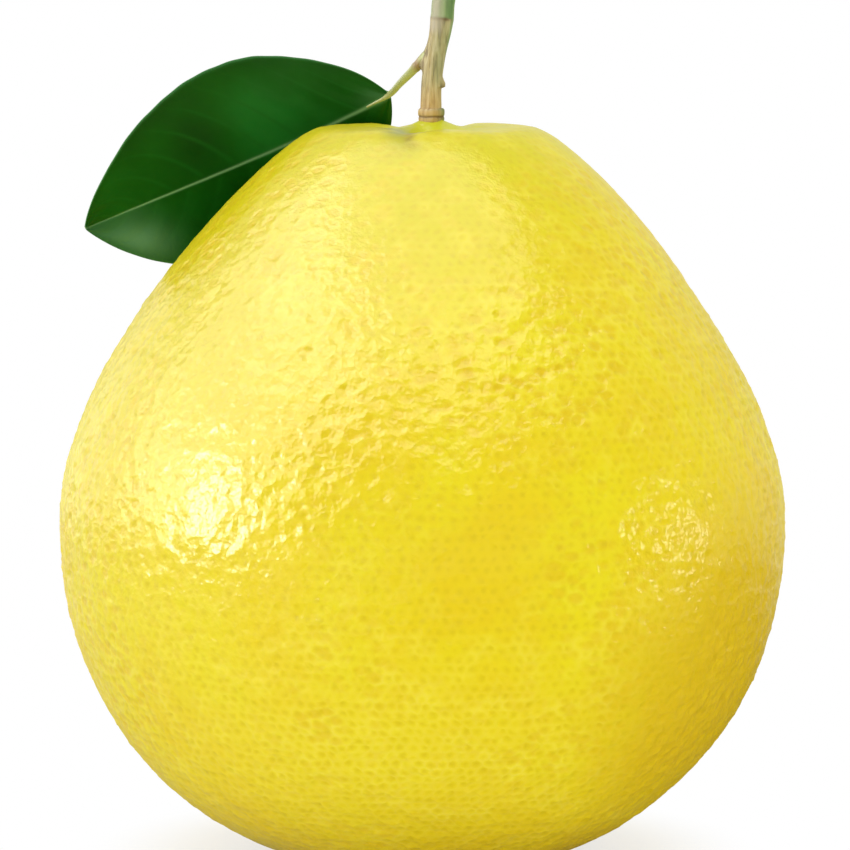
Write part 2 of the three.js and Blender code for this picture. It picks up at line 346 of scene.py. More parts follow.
def rindMaterial():
    # Ripe pomelo peel: a waxy yellow skin over white pith, with darker oil glands sunk into it. The wax gives
    # a soft sheen that the pits break up, and the glands show as dots a little darker than the skin.
    material, tree = newMaterial("waxyPomeloPeel")
    place = addNode(tree, "ShaderNodeTexCoord").outputs["Object"]
    gland, green, scarAndCreaseShade, goldenToneAndShade, lemon, hollowShade, rippled, paintedLight, relief = (
        addNode(tree, "ShaderNodeAttribute", attribute_name=tag).outputs["Fac"]
        for tag in ("gland", "green", "scarAndCreaseShade", "goldenToneAndShade", "lemon", "hollowShade", "rippled", "paintedLight", "relief"))
    # broad changes of tone, about 25 mm across, then mottling about 6 mm across
    broad = addNode(tree, "ShaderNodeTexNoise", {"Vector": place, "Scale": 1 / (25 * mm), "Detail": 3})
    mottle = addNode(tree, "ShaderNodeTexNoise", {"Vector": place, "Scale": 1 / (6 * mm), "Detail": 3})
    patches = addNode(tree, "ShaderNodeMapRange", {"Value": broad, "From Min": 0.38, "From Max": 0.64})
    # where the skin is wrinkled, sunken blotches 2.4 mm apart and longer sideways are deeper in colour
    stretched = addNode(tree, "ShaderNodeVectorMath", {0: place, 1: (0.7, 0.8, 1.05)}, operation="MULTIPLY")
    cell = addNode(tree, "ShaderNodeTexVoronoi", {"Vector": stretched, "Scale": 1 / (2.4 * mm)})
    sunken = addNode(tree, "ShaderNodeMapRange", {
        "Value": cell, "From Min": 0.25, "From Max": 0.72, "To Min": 1, "To Max": 0,
    }, interpolation_type="SMOOTHSTEP")
    some = addNode(tree, "ShaderNodeMapRange", {
        "Value": mottle, "From Min": 0.36, "From Max": 0.56, "To Max": rippled,
    })
    blotch = addNode(tree, "ShaderNodeMath", {0: sunken, 1: some}, operation="MULTIPLY")
    deepness = addNode(tree, "ShaderNodeMath", {0: blotch, 1: 0.95}, operation="MULTIPLY")
    # paler spots, and painted light in patches on the front, where the skin between the glands shows as a
    # creamy net
    paleSpots = addNode(tree, "ShaderNodeMapRange", {
        "Value": mottle, "From Min": 0.42, "From Max": 0.66, "To Max": 0.5,
    })
    paleSpotsAndLight = addNode(tree, "ShaderNodeMath", {0: paleSpots, 1: paintedLight}, use_clamp=True)
    between = addNode(tree, "ShaderNodeMapRange", {
        "Value": gland, "From Max": 0.4, "To Min": 0.18, "To Max": 0,
    }, interpolation_type="SMOOTHSTEP")
    net = addNode(tree, "ShaderNodeMath", {0: between, 1: paleSpotsAndLight}, operation="MULTIPLY")
    dot = addNode(tree, "ShaderNodeMapRange", {
        "Value": gland, "From Min": 0.1, "From Max": 0.9, "To Max": 0.38,
    }, interpolation_type="SMOOTHSTEP")
    # painted light and shade are in these colours: pale patches and lemon where the light falls, golden on
    # the side away from it and underneath, olive and brown in the hollow and crease by the foot
    skin = layColours(tree, linear("#eedd04"), [
        (patches, "#eed203"),
        (lemon, "#e0d403"),
        (paleSpotsAndLight, "#f6e42c"),
        (net, "#f4e178"),
        (goldenToneAndShade, "#d6ac02"),
        (deepness, "#e6c400"),
        (dot, "#d8bd00"),
        (green, "#d6d82a"),
        (hollowShade, "#8c9414"),
        (scarAndCreaseShade, "#8f7010"),
    ])
    # the wax is finely uneven: real grain is finer than 0.1 mm, drawn at 0.7 mm so that it shows
    grain = addNode(tree, "ShaderNodeTexNoise", {"Vector": place, "Scale": 1 / (0.7 * mm), "Detail": 1})
    bump = addNode(tree, "ShaderNodeBump", {"Height": grain, "Strength": 0.4, "Distance": 0.15 * mm})
    # blotches sink, and dimples about 3 mm apart and ripples of 1.8 mm break the sheen into small pieces
    dimple = addNode(tree, "ShaderNodeTexVoronoi", {"Vector": place, "Scale": 1 / (3.0 * mm)})
    ripple = addNode(tree, "ShaderNodeTexNoise", {"Vector": place, "Scale": 1 / (1.8 * mm), "Detail": 1})
    dimples = addNode(tree, "ShaderNodeMath", {0: dimple, 1: relief}, operation="MULTIPLY")
    ripples = addNode(tree, "ShaderNodeMath", {0: ripple, 1: relief}, operation="MULTIPLY")
    for height, distance in [(blotch, -0.18), (dimples, 0.24), (ripples, 0.24)]:
        bump = addNode(tree, "ShaderNodeBump", {
            "Height": height, "Strength": 1, "Distance": distance * mm, "Normal": bump,
        })
    rough = addNode(tree, "ShaderNodeMapRange", {"Value": mottle, "To Min": 0.34, "To Max": 0.46})
    wax = addNode(tree, "ShaderNodeBsdfPrincipled", {
        "Base Color": skin,
        "Roughness": rough,
        "IOR": 1.4,
        "Specular IOR Level": 0.05,
        "Subsurface Weight": 0.1,
        "Subsurface Radius": (1.2, 0.8, 0.2),
        "Subsurface Scale": 1.0 * mm,
        "Coat Weight": 0.32,
        "Coat Roughness": 0.22,
        "Coat IOR": 2.0,
        "Normal": bump,
        "Coat Normal": bump,
    })
    addNode(tree, "ShaderNodeOutputMaterial", {"Surface": wax})
    return material


# soft patches on the side that faces forward
def frontPatches(points, patches):
    x, y, z = points.T
    return (y < 0) * sum(strength * bell(z - height, tall) * bell(x - across, wide)
                         for strength, height, tall, across, wide in patches)


# how far bumps and wrinkles lift the plain skin, how wrinkled it is and how much relief it has
def rindRelief(plain):
    bumps = sum(rise * lumps(plain, size, seed) for seed, (size, rise) in enumerate(rind["bumps"]))
    width, longer, climb, sharpness, height = rind["wrinkles"]
    lie = np.array([math.cos(climb), 0, math.sin(climb)])
    stretched = plain - np.outer(plain @ lie, lie) * (1 - 1 / longer)
    folds = 0.5 - sharpness * np.abs(lumps(stretched, width, seed=8, octaves=1))
    everywhere, patchy, patchSize = rind["wrinkled"]
    patch = smoothStep(lumps(plain, patchSize, seed=21, octaves=1), -0.1, 0.35)
    rippled = everywhere + patchy * patch + frontPatches(plain, rind["wrinkledPatches"])
    rippled = np.clip(rippled, 0, 1)
    calmFrom, least, rising = rind["calmCrown"]
    crown = least + (1 - least) * smoothStep(fromFoot(plain), *rising)
    relief = np.where(plain[:, 2] > calmFrom, crown, 1)
    return (bumps + height * folds * rippled) * relief, rippled, relief


# shares of each colour, by the name of the tag that carries it
def rindTones(points):
    onCrown = points[:, 2] > rind["crownFrom"]
    reach = fromFoot(points)
    green = onCrown * sum(strength * bell(reach, width) for strength, width in rind["greenRings"])
    wander = lumps(points, 6, seed=33)  # bends the painted shade in the hollow and the crease
    # painted shade: an olive hollow beside the foot
    strength, place, width, stray, start, end = rind["hollowShade"]
    fx, fy = points[:, 0] - footPlace[0], points[:, 1] - footPlace[1]
    hollowShade = onCrown * strength * bell(fx - place + stray * wander, width)
    hollowShade = hollowShade * smoothStep(fy, *start) * (1 - smoothStep(fy, *end))
    # painted shade: a brown crease along the hollow; the blossom scar underneath is the fruit's own colour
    strength, degrees, width, widening, stray, start, end = rind["creaseShade"]
    along, across = alongAndAcross(points[:, 0], points[:, 1], degrees)
    paintedCreaseShade = onCrown * strength * bell(across + stray * wander, width + widening * along)
    paintedCreaseShade = paintedCreaseShade * smoothStep(along, *start) * (1 - smoothStep(along, *end))
    scarAndCreaseShade = 1 - smoothStep(np.hypot(points[:, 0], points[:, 1]), *rind["blossomScar"])
    scarAndCreaseShade = scarAndCreaseShade * (points[:, 2] < rind["bellyHeight"])
    # painted light: more lemon towards the top and the upper left, where the light falls
    strength, leftward, rising = rind["lemonAbove"]
    lemon = strength * smoothStep(points[:, 2] - leftward * points[:, 0], *rising)
    # painted shade: deeper golden on the lower right, away from the light, and underneath
    side = points - [0, 0, rind["bellyHeight"]]
    side /= np.linalg.norm(side, axis=1)[:, None]
    strength, widening = rind["shadedSideGolden"]
    goldenToneAndShade = strength * smoothStep(side @ np.array(rind["shadedSide"]), *widening)
    strength, fading = rind["shadedBelow"]
    goldenToneAndShade = np.maximum(goldenToneAndShade, strength * (1 - smoothStep(points[:, 2], *fading)))
    return {
        "green": np.clip(green, 0, 1),
        "hollowShade": hollowShade,
        "scarAndCreaseShade": np.maximum(scarAndCreaseShade, paintedCreaseShade),
        "goldenToneAndShade": goldenToneAndShade + frontPatches(points, rind["goldenToneAndShadePatches"]),
        "lemon": lemon,
        "paintedLight": frontPatches(points, rind["paintedLightPatches"]),
    }


def makeRind():
    runs, angles, faces = glandLayout()
    plain, facing = rindSkin(runs, angles)
    glandCount = len(plain)
    ridge = plain[faces].mean(axis=1)
    ridgeFacing = facing[faces].mean(axis=1)
    ridgeFacing /= np.linalg.norm(ridgeFacing, axis=1)[:, None]
    faces = ridgeBetween(plain, faces)
    plain, facing = np.vstack([plain, ridge]), np.vstack([facing, ridgeFacing])

    bumps, rippled, relief = rindRelief(plain)
    calm = smoothStep(plain[:, 2], *rind["restCalm"])
    nearFoot = smoothStep(fromFoot(plain), *rind["footCalm"])
    neck = np.where(plain[:, 2] > rind["crownFrom"], nearFoot, 1)
    gland = np.zeros(len(plain))
    gland[:glandCount] = luck.uniform(*rind["glandSizes"], glandCount) * neck[:glandCount]
    least = rind["glandUnderneath"]
    depth = rind["glandDepth"] * gland * relief * (least + (1 - least) * calm)
    points = plain + facing * (bumps * calm - depth)[:, None]
    points[:, 2] = np.maximum(points[:, 2], 0)
    tags = {"gland": gland, "rippled": rippled, "relief": relief, **rindTones(points)}
    makePiece("pomeloRind", points, faces, rindMaterial(), "fruit", tags)


stalk = {
    # its middle line, from its foot in the top of the calyx
    "line": [(0, 0, 0), (0.05, 0.1, 4.3), (0.2, 0.2, 7.2), (0.85, 0.3, 12), (1.85, 0.5, 17), (2.4, 0.7, 21),
             (2.9, 0.9, 25.3), (5.4, 1.3, 36)],
    "foot": footPlace + [0, 0, 2.4],
    "sunk": 0.6,               # it starts this far inside the calyx
    "radius": 2.18,
    "topRadius": 2.5,
    "widens": (0.38, 0.58),    # between these shares of the length
    "footFlare": (0.12, 0.08),  # rise, and half width as a share of the length
    "ring": (0.1, 0.016),      # the same for the growth ring
    # ribs along it: how many, twist, phase and height
    "ribs": [(9, 5, 0, 0.055), (14, -3, 1, 0.04)],
    "sides": 96,
    "steps": 300,
    # shares of the length: where the green shoot starts, where the petiole leaves it and where the bud sits
    "nodeAt": 0.56,
    "leafAt": 0.27,
    "budAt": 0.17,
    # turns round it, from its left side towards its back
    "leafTurn": math.radians(37),
    "budTurn": math.radians(190),
    "greenTurn": math.radians(186),
    "cutSlope": 0.45,
    # rings inside the cut end: share of its radius and how deep they lie
    "cutRings": [(0.93, -0.02), (0.78, 0.12), (0.45, 0.2), (0.2, 0.12)],
}


# rings round a line: shape gives the two radii, and a quarter turn points roughly up
def tube(line, sides, shape, up):
    steps = len(line)
    along = np.gradient(line, axis=0)
    along /= np.linalg.norm(along, axis=1)[:, None]
    right = np.cross(along, up)
    right /= np.linalg.norm(right, axis=1)[:, None]
    over = np.cross(right, along)
    t, turn = np.meshgrid(np.linspace(0, 1, steps), np.arange(sides) * 2 * math.pi / sides, indexing="ij")
    wide, deep = shape(t, turn)
    points = (line[:, None] + right[:, None] * (wide * np.cos(turn))[..., None]
              + over[:, None] * (deep * np.sin(turn))[..., None])
    return points, t, turn


# quads over rows of closed rings, with a middle point closing each end
def gridFaces(rows, columns, flip=False):
    faces = []
    for row in range(rows - 1):
        for column in range(columns):
            following = (column + 1) % columns
            quad = (row * columns + column, row * columns + following,
                    (row + 1) * columns + following, (row + 1) * columns + column)
            faces.append(quad[::-1] if flip else quad)
    first, last = rows * columns, rows * columns + 1
    for column in range(columns):
        following = (column + 1) % columns
        start = (first, following, column)
        end = (last, (rows - 1) * columns + column, (rows - 1) * columns + following)
        faces += [start[::-1], end[::-1]] if flip else [start, end]
    return faces


def closeTube(points):
    flat = points.reshape(-1, 3)
    return np.vstack([flat, points[0].mean(axis=0), points[-1].mean(axis=0)])


def turnGap(turn, target):
    return (turn - target + math.pi) % (2 * math.pi) - math.pi


def stalkShape(t, turn):
    s = stalk
    rise, width = s["footFlare"]
    plain = s["radius"] + (s["topRadius"] - s["radius"]) * smoothStep(t, *s["widens"]) + rise * bell(t, width)
    rise, width = s["ring"]
    fuller = np.clip(0.4 + 0.9 * bell(turnGap(turn, math.radians(285)), 1.1), 0, 1)
    plain = plain + rise * bell(t - s["nodeAt"], width) * fuller
    ribs = sum(height * np.cos(count * turn + twist * t + phase) for count, twist, phase, height in s["ribs"])
    ribs = ribs * (1 - 0.6 * smoothStep(t, s["nodeAt"], s["nodeAt"] + 0.06))
    # the leaf's base runs down the stalk, standing further out as it goes, and stops short at its joint
    above = np.clip((s["leafAt"] + 0.18 - t) / 0.16, 0, 1) ** 1.5
    above = above * smoothStep(t, s["leafAt"] - 0.05, s["leafAt"])
    swell = 1.5 * above * bell(turnGap(turn, s["leafTurn"]), 0.7)
    # an old bud on the other side, with a sharp lower lip
    lip = smoothStep(t, s["budAt"] - 0.03, s["budAt"] - 0.015)
    tip = 1 - smoothStep(t, s["budAt"], s["budAt"] + 0.06)
    bud = 0.85 * lip * tip * bell(turnGap(turn, s["budTurn"]), 0.42)
    knots = 0.12 * bell(t - 0.37, 0.02) * bell(turnGap(turn, math.radians(250)), 0.5)
    radius = plain + ribs + swell + bud + knots
    return radius, radius


def barkMaterial():
    # Young citrus wood: thin dry bark, tan with darker lengthwise cracks, over green that shows through on
    # one side. The shoot above its last growth ring is still green, greyer where it has weathered. Dry bark
    # is matt.
    material, tree = newMaterial("youngCitrusBark")
    place = addNode(tree, "ShaderNodeTexCoord").outputs["Object"]
    shoot, greenSide, dark, warm, weathered, cut = (
        addNode(tree, "ShaderNodeAttribute", attribute_name=tag).outputs["Fac"]
        for tag in ("shoot", "greenSide", "dark", "warm", "weathered", "cut"))
    stretched = addNode(tree, "ShaderNodeMapping", {"Vector": place, "Scale": (1, 1, 0.14)})
    # cracks about 0.7 mm apart, and patches about 2.2 mm across
    cracks = addNode(tree, "ShaderNodeTexNoise", {"Vector": stretched, "Scale": 1 / (0.7 * mm), "Detail": 4})
    patches = addNode(tree, "ShaderNodeTexNoise", {"Vector": stretched, "Scale": 1 / (2.2 * mm), "Detail": 2})
    tan = addNode(tree, "ShaderNodeValToRGB", {"Fac": cracks},
                  ramp=[(0.36, "#7d6a3e"), (0.48, "#b09c62"), (0.66, "#cbbc88")])
    streak = addNode(tree, "ShaderNodeMapRange", {"Value": patches, "From Min": 0.38, "From Max": 0.62})
    showing = addNode(tree, "ShaderNodeMath", {0: streak, 1: greenSide}, operation="MULTIPLY")
    fresh = addNode(tree, "ShaderNodeValToRGB", {"Fac": patches},
                    ramp=[(0.3, "#587a3a"), (0.5, "#74964a"), (0.68, "#92a064")])
    wood = layColours(tree, tan, [
        (showing, "#86915f"),
        (shoot, fresh),
        (weathered, "#b9ad90"),
        (warm, "#cba055"),
        (dark, "#6a5228"),
        (cut, "#d9cf9e"),
    ])
    bump = addNode(tree, "ShaderNodeBump", {"Height": cracks, "Strength": 0.7, "Distance": 0.2 * mm})
    bark = addNode(tree, "ShaderNodeBsdfPrincipled", {
        "Base Color": wood,
        "Roughness": 0.72,
        "IOR": 1.45,
        "Normal": bump,
    })
    addNode(tree, "ShaderNodeOutputMaterial", {"Surface": bark})
    return material


def makeStalk(bark):
    s = stalk
    line = throughPoints(np.array(s["line"]) + s["foot"] - [0, 0, s["sunk"]], s["steps"])
    points, t, turn = tube(line, s["sides"], stalkShape, (0, 1, 0))
    # the cut across the top slopes
    points[..., 2] += smoothStep(t, 0.93, 1) * s["cutSlope"] * (points[..., 0] - line[-1, 0])
    inner = [line[-1] + (points[-1] - line[-1]) * share - [0, 0, drop] for share, drop in s["cutRings"]]
    points = np.concatenate([points, np.array(inner)], axis=0)
    rows = len(points)
    flat = closeTube(points)

    def spread(values, end):
        body = np.concatenate([values, np.full((rows - len(values), s["sides"]), end)], axis=0)
        return np.r_[body.ravel(), values[0, 0], end]

    # green runs down the right side below the ring, and the ring is darkest towards the front right
    gap = turnGap(turn, s["greenTurn"])
    flank = bell(gap, 0.62)
    shoot = smoothStep(t, s["nodeAt"] - 0.004, s["nodeAt"] + 0.008)
    ring = bell(t - s["nodeAt"], 0.011) * (0.35 + 0.6 * bell(turnGap(turn, math.radians(252)), 0.4))
    leafBase = bell(t - s["leafAt"] + 0.01, 0.03) * bell(turnGap(turn, s["leafTurn"] - 0.5), 0.4)
    budBase = bell(t - s["budAt"] + 0.02, 0.02) * bell(turnGap(turn, s["budTurn"]), 0.45)
    dark = ring * (1 - 0.9 * flank) + 0.75 * leafBase + 0.5 * budBase
    frontLeft = bell(turnGap(turn, math.radians(310)), 0.75)
    tags = {
        "shoot": np.maximum(shoot, 0.8 * flank * smoothStep(t, 0.26, 0.5)),
        "greenSide": 0.25 + 0.75 * bell(gap, 1.1) * smoothStep(t, 0.08, 0.3),
        "dark": np.clip(dark, 0, 1),
        "warm": 0.55 * (1 - smoothStep(t, 0.04, 0.2)) * (1 - 0.6 * flank),
        "weathered": 0.8 * frontLeft * smoothStep(t, s["nodeAt"] - 0.12, s["nodeAt"] - 0.05),
    }
    tags = {tag: spread(values, 0) for tag, values in tags.items()}
    tags["cut"] = spread(np.zeros_like(t), 1)
    faces = gridFaces(rows, s["sides"], True)
    makePiece("woodyStalk", flat, faces, bark, "stalk", tags)


calyx = {
    "radius": 2.95,
    "lobes": 5,
    "lobeTurn": 0.6,
    "lobeDepth": (0.07, 0.12),  # a share of the radius, and how far the hollows between lobes sink
    "creases": (17, 0.04),      # how many round it and how deep
    "sides": 120,
    # share of the radius, height above the skin and how far the lobes show, from the foot up and in
    "rings": [(0.82, -1.2, 0.0), (0.92, -0.2, 0.3), (0.95, 0.25, 0.8), (0.94, 0.6, 0.8), (0.91, 0.85, 0.4),
              (0.95, 1.0, 0.2), (0.98, 1.3, 0.3), (0.98, 1.9, 0.5), (0.96, 2.35, 0.6), (0.87, 2.65, 0.4),
              (0.7, 2.5, 0.1)],
}


def makeCalyx(bark):
    c = calyx
    turn = np.arange(c["sides"]) * 2 * math.pi / c["sides"]
    lobe = 0.5 + 0.5 * np.cos(c["lobes"] * turn + c["lobeTurn"])
    inward, downward = c["lobeDepth"]
    creaseCount, creaseDepth = c["creases"]
    rings = []
    for share, level, shown in c["rings"]:
        reach = c["radius"] * share * (1 + inward * shown * (lobe - 0.5))
        reach = reach + creaseDepth * np.cos(creaseCount * turn) * shown
        height = level - downward * shown * (1 - lobe)
        rings.append(np.stack([reach * np.cos(turn), reach * np.sin(turn), height], axis=1))
    flat = closeTube(np.array(rings) + footPlace)
    level = np.repeat([ring[1] for ring in c["rings"]], c["sides"])
    ends = np.zeros(2)
    # its right side is greener, and its joint is darkest
    right = np.r_[np.tile(bell(turnGap(turn, math.radians(-18)), 0.6), len(rings)), ends]
    dark = np.clip(np.r_[0.9 * bell(level - 0.85, 0.22), ends] + 0.35 * right, 0, 1)
    warm = np.r_[np.where(level < 2.3, 0.65, 0.35), ends] * (1 - 0.8 * right)
    none = np.zeros(len(flat))
    makePiece("calyxButton", flat, gridFaces(len(rings), c["sides"]), bark, "calyx", {
        "shoot": 0.9 * right, "greenSide": none, "dark": dark, "warm": warm, "weathered": none, "cut": none})


leafNode = footPlace + [0.3, 0.2, 12.6]

petiole = {
    "line": [(-0.9, 0.7, 1.7), (-2.1, 1.6, 0.5), (-3.5, 3.0, -1.0), (-5.2, 6.4, -2.9), (-7.2, 11.3, -5.1),
             (-9.6, 16.6, -7.7), (-14.6, 19.6, -10.5)],
    "width": 1.05,
    "depth": 0.98,
    "leafWidth": 0.72,         # by the time it meets the blade
    "tipWidth": 0.24,          # and where it has become the midrib
    "joint": [(0.3, 0, 0.12), (0.1, 0.17, 0.02)],  # rise, place and half width of its flare and ring
    "channelDepth": 0.2,
    "wingHeight": 0.12,
    "sides": 48,
    "steps": 160,
}


def petioleShape(t, turn):
    p = petiole
    flare = sum(rise * bell(t - place, width) for rise, place, width in p["joint"])
    taper = 1 + (p["leafWidth"] / p["width"] - 1) * smoothStep(t, 0.1, 0.7)
    taper = taper * (1 + (p["tipWidth"] / p["leafWidth"] - 1) * smoothStep(t, 0.72, 1))
    # the upper side is channelled between two low wings
    over = turnGap(turn, math.pi / 2)
    channel = p["channelDepth"] * bell(over, 0.45) * smoothStep(t, 0.25, 0.4)
    wings = p["wingHeight"] * (bell(over - 0.8, 0.25) + bell(over + 0.8, 0.25)) * smoothStep(t, 0.25, 0.45)
    body = 1 - channel + wings
    return (p["width"] + flare) * taper * body, (p["depth"] + flare) * taper * body


def petioleMaterial():
    # Smooth green leaf stalk: waxy and yellow-green, browner where it joins the wood, with painted shade
    # along its upper side.
    material, tree = newMaterial("greenLeafStalk")
    place = addNode(tree, "ShaderNodeTexCoord").outputs["Object"]
    brown, upper = (addNode(tree, "ShaderNodeAttribute", attribute_name=tag).outputs["Fac"]
                    for tag in ("brown", "upper"))
    streaks = addNode(tree, "ShaderNodeTexNoise", {"Vector": place, "Scale": 1 / (1.5 * mm), "Detail": 3})
    skin = layColours(tree, linear("#c2c483"), [
        (streaks, "#aeb56c"),
        # painted shade along the upper side
        (upper, "#8f8a55"),
        (brown, "#957048"),
    ])
    wax = addNode(tree, "ShaderNodeBsdfPrincipled", {"Base Color": skin, "Roughness": 0.45, "IOR": 1.42})
    addNode(tree, "ShaderNodeOutputMaterial", {"Surface": wax})
    return material


def makePetiole():
    p = petiole
    line = throughPoints(np.array(p["line"]) + leafNode, p["steps"])
    points, t, turn = tube(line, p["sides"], petioleShape, (0, 0, 1))
    # painted shade along the upper side, fading before the blade
    over = bell(turnGap(turn, math.pi / 2), 0.8) * (1 - smoothStep(t, 0.75, 0.9))
    brown = np.clip(0.85 * bell(t - 0.12, 0.05) + 0.45 * bell(t - 0.2, 0.05) * over, 0, 1)
    tags = {tag: np.r_[values.ravel(), values[0, 0], values[-1, 0]]
            for tag, values in (("brown", brown), ("upper", over))}
    faces = gridFaces(p["steps"], p["sides"], True)
    skin = petioleMaterial()
    makePiece("leafPetiole", closeTube(points), faces, skin, "leaf_petiole", tags)


leaf = {
    "midrib": [(-9.6, 16.8, -7.9), (-29.8, 30.0, -19.0), (-57.8, 28.0, -29.5), (-76.8, 12.0, -37.0)],
    "halfWidth": 25,
    "baseFullness": 0.8,
    "tipFullness": 0.87,
    "rounderBase": (0.1, 0.38),  # how much fuller the upper and lower halves are at the base
    # degrees that each half leans back, at its base and at its tip
    "upperTilt": (24, 39),
    "lowerTilt": (44, 22),
    "thickness": 0.42,
    "edgeThickness": 0.22,
    "veins": 9,                # pairs of side veins
    "veinSpan": 77,            # they share this length of the midrib
    "veinWidth": 0.5,
    "ribWidth": 0.36,
    # how far veins and rib sink in the face, and how far they stand out of the back
    "sunk": (0.04, 0.1),
    "raised": (0.07, 0.75),
    # billows: how high, how far across, and how much the skin rises between side veins
    "billow": (0.22, 17, 0.10),
    "along": 220,
    "across": 110,
}


def halfWidthAt(s):
    base, tip = leaf["baseFullness"], leaf["tipFullness"]
    widest = base / (base + tip)
    place = 0.004 + 0.992 * s  # just short of a width of 0 at either end
    return leaf["halfWidth"] * (place / widest) ** base * ((1 - place) / (1 - widest)) ** tip


# points of the blade: s from base to tip, t from -1 at the upper edge to 1 at the lower
def bladePoints(s, t):
    corners = np.array(leaf["midrib"]) + leafNode
    place = cubic(corners, s)
    along = cubic(corners, np.minimum(s + 0.005, 1)) - cubic(corners, np.maximum(s - 0.005, 0))
    down = np.stack([-along[..., 2], 0 * s, along[..., 0]], axis=-1)
    down /= np.linalg.norm(down, axis=-1)[..., None]
    blend = smoothStep(t, -0.06, 0.06)  # the two halves meet in a rounded valley
    low = leaf["upperTilt"][0] * (1 - blend) + leaf["lowerTilt"][0] * blend
    high = leaf["upperTilt"][1] * (1 - blend) + leaf["lowerTilt"][1] * blend
    tilt = np.radians(low + (high - low) * smoothStep(s, 0.3, 1))
    margin = 1 + 0.004 * np.sin(31 * s + 9 * t) + 0.002 * np.sin(83 * s)
    upperBase, lowerBase = leaf["rounderBase"]
    fuller = 1 + np.where(t > 0, lowerBase, upperBase) * bell(s - 0.02, 0.07)
    reach = halfWidthAt(s) * t * margin * fuller
    backward = np.array([0, 1.0, 0])
    return place + down * (reach * np.cos(tilt))[..., None] + backward * (reach * np.sin(tilt))[..., None]


# 1 on a side vein, fading over its width: they leave the midrib at a slant and curve towards the tip
def veinMask(s, t):
    count, width = leaf["veins"], leaf["veinWidth"]
    across = np.abs(t)
    offset = np.where(t < 0, 0.0, 0.5)  # veins of one half leave between those of the other
    slant = 0.16 * across + 0.10 * across ** 2.4
    phase = (s - slant) * (count + 1) + offset
    away = np.abs(phase - np.round(phase)) * leaf["veinSpan"] / (count + 1)
    fade = smoothStep(across, 0.02, 0.08) * (1 - 0.8 * smoothStep(across, 0.6, 0.95))
    inside = smoothStep(s, 0.02, 0.08) * (1 - smoothStep(s, 0.9, 0.98))
    return bell(away, width * (1.15 - 0.6 * across)) * fade * inside


def leafMaterial():
    # Citrus leaf: leathery and waxed on its upper face, which is dark green, and dull and paler underneath.
    # The wax gives a broad sheen, the side veins show faintly, and a pale sheen is painted near the tip, with
    # painted light and shade across the face.
    material, tree = newMaterial("waxedCitrusLeaf")
    place = addNode(tree, "ShaderNodeTexCoord").outputs["Object"]
    vein, rib, under, edge, paintedLightAndShade, paintedSheen = (
        addNode(tree, "ShaderNodeAttribute", attribute_name=tag).outputs["Fac"]
        for tag in ("vein", "rib", "under", "edge", "paintedLightAndShade", "paintedSheen"))
    # cloudy tone about 14 mm across, and oil dots about 0.8 mm apart
    cloud = addNode(tree, "ShaderNodeTexNoise", {"Vector": place, "Scale": 1 / (14 * mm), "Detail": 3})
    dots = addNode(tree, "ShaderNodeTexVoronoi", {"Vector": place, "Scale": 1 / (0.8 * mm)})
    cloudy = addNode(tree, "ShaderNodeMapRange", {
        "Value": cloud, "From Min": 0.3, "From Max": 0.7, "To Min": -0.18, "To Max": 0.18,
    })
    # painted light and shade on the face, over a random cloudy tone
    depth = addNode(tree, "ShaderNodeMath", {0: paintedLightAndShade, 1: cloudy}, operation="ADD")
    face = addNode(tree, "ShaderNodeValToRGB", {"Fac": depth},
                   ramp=[(0.1, "#013f06"), (0.5, "#065009"), (0.95, "#10641a")])
    back = layColours(tree, linear("#5d8a48"), [(vein, "#87a866"), (rib, "#b4bf7c")])
    colour = layColours(tree, face, [
        (vein, "#0e5a14"),
        # painted sheen
        (paintedSheen, "#5d8f66"),
        (edge, "#3c7a3c"),
        (rib, "#7fae78"),
        (under, back),
    ])
    rough = addNode(tree, "ShaderNodeMapRange", {"Value": under, "To Min": 0.36, "To Max": 0.62})
    bump = addNode(tree, "ShaderNodeBump", {"Height": dots, "Strength": 0.15, "Distance": 0.08 * mm})
    wax = addNode(tree, "ShaderNodeBsdfPrincipled", {
        "Base Color": colour,
        "Roughness": rough,
        "IOR": 1.45,
        "Specular IOR Level": 0.2,
        "Normal": bump,
    })
    addNode(tree, "ShaderNodeOutputMaterial", {"Surface": wax})
    return material


